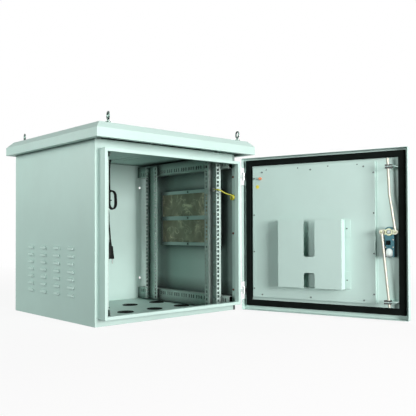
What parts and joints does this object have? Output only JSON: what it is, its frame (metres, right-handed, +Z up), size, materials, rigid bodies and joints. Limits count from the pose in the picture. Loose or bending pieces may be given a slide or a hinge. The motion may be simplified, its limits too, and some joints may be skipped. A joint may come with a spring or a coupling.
{
  "type": "roadside utility cabinet",
  "caption": "Outdoor equipment cabinet with a peaked roof hood, louvred sides, a 19-inch rack inside and a hinged door with rod lock, fans, earth lead and mains lead.",
  "frame": {"origin": "middle of the body's bottom face", "axes": "+X right as seen facing the door opening, +Y from the opening into the cabinet, +Z up"},
  "size_m": [0.798, 1.1654, 0.6439],
  "materials": {
    "paint": "satin",
    "zinc": "satin",
    "yellow_zinc": "satin",
    "red_screw": "satin",
    "copper": "satin",
    "black_rubber": "matte",
    "lead_black": "matte",
    "earth_sleeve": "matte",
    "filter_mat": "matte",
    "black_plastic": "matte"
  },
  "bodies": {
    "cabinet": {"side_panel_left": "paint", "side_panel_right": "paint", "rear_panel": "paint", "floor_panel": "paint", "ceiling_panel": "paint", "front_frame": "paint", "roof_hood": "paint", "filter_frames": "paint", "rack_upright_front_left": "zinc", "rack_upright_front_right": "zinc", "rack_upright_rear_left": "zinc", "rack_upright_rear_right": "zinc", "depth_rails_lower": "zinc", "depth_rails_upper": "zinc", "roof_spacers": "zinc", "lifting_eyes": "zinc", "lifting_eye_nuts": "zinc", "upright_bolts": "zinc", "upright_nuts": "zinc", "fan_guards": "zinc", "hinge_frame_leaves": "zinc", "hinge_pins": "zinc", "plug_pins": "zinc", "earth_terminal": "zinc", "earth_bolt": "zinc", "earth_stud": "zinc", "filter_screws": "zinc", "frame_screws": "red_screw", "cable_grommets": "black_rubber", "lead_gland": "lead_black", "mains_lead_drop": "lead_black", "mains_lead_hank": "lead_black", "mains_lead_tail": "lead_black", "mains_plug": "lead_black", "earth_lead": "earth_sleeve", "earth_lead_coil": "earth_sleeve", "filter_mats": "filter_mat", "fan_housing_left": "black_plastic", "fan_housing_right": "black_plastic"},
    "door": {"door_shell": "paint", "door_gasket": "black_rubber", "hinge_door_leaves": "zinc", "door_liner": "paint", "door_panel_screws": "zinc", "document_pocket": "paint", "door_earth_stud": "copper", "lock_body": "zinc", "handle_escutcheon": "black_plastic", "rod_guides": "zinc", "rod_bushes": "black_plastic"},
    "handle": {"handle_spindle": "zinc", "lock_cam": "yellow_zinc", "cam_screw": "yellow_zinc", "lever_pin": "zinc"},
    "lever": {"swing_lever": "black_plastic"},
    "key_cylinder": {"key_cylinder": "zinc"},
    "upper_rod": {"lock_rod_upper": "zinc"},
    "lower_rod": {"lock_rod_lower": "zinc"},
    "fan_left": {"fan_rotor_left": "black_plastic"},
    "fan_right": {"fan_rotor_right": "black_plastic"}
  },
  "joints": [
    {"name": "door_hinge", "type": "hinge", "parent": "cabinet", "child": "door", "pos_m": [0.2926, -0.3192, 0.2775], "axis": [0, 0, 1], "range_deg": [-105.7, 20]},
    {"name": "handle_turn", "type": "hinge", "parent": "door", "child": "handle", "pos_m": [0.44583, -0.82625, 0.281], "axis": [-0.9627, -0.2706, 0], "range_deg": [0, 90]},
    {"name": "lever_lift", "type": "hinge", "parent": "handle", "child": "lever", "pos_m": [0.46024, -0.81805, 0.281], "axis": [0, 0, -1], "range_deg": [0, 45]},
    {"name": "key_turn", "type": "hinge", "parent": "door", "child": "key_cylinder", "pos_m": [0.44583, -0.82625, 0.219], "axis": [-0.9627, -0.2706, 0], "range_deg": [0, 90]},
    {"name": "upper_rod_swing", "type": "hinge", "parent": "handle", "child": "upper_rod", "pos_m": [0.41554, -0.8571, 0.281], "axis": [-0.9627, -0.2706, 0], "range_deg": [-97, 0]},
    {"name": "lower_rod_swing", "type": "hinge", "parent": "handle", "child": "lower_rod", "pos_m": [0.40391, -0.8157, 0.281], "axis": [-0.9627, -0.2706, 0], "range_deg": [-97, 0]},
    {"name": "fan_left_spin", "type": "hinge", "parent": "cabinet", "child": "fan_left", "pos_m": [-0.11, -0.17, 0.575], "axis": [0, 0, 1], "continuous": true},
    {"name": "fan_right_spin", "type": "hinge", "parent": "cabinet", "child": "fan_right", "pos_m": [0.11, -0.17, 0.575], "axis": [0, 0, 1], "continuous": true}
  ],
  "couplings": [
    {"joint": "upper_rod_swing", "follows": "handle_turn", "ratio": -1.0717},
    {"joint": "lower_rod_swing", "follows": "handle_turn", "ratio": -1.0627}
  ]
}
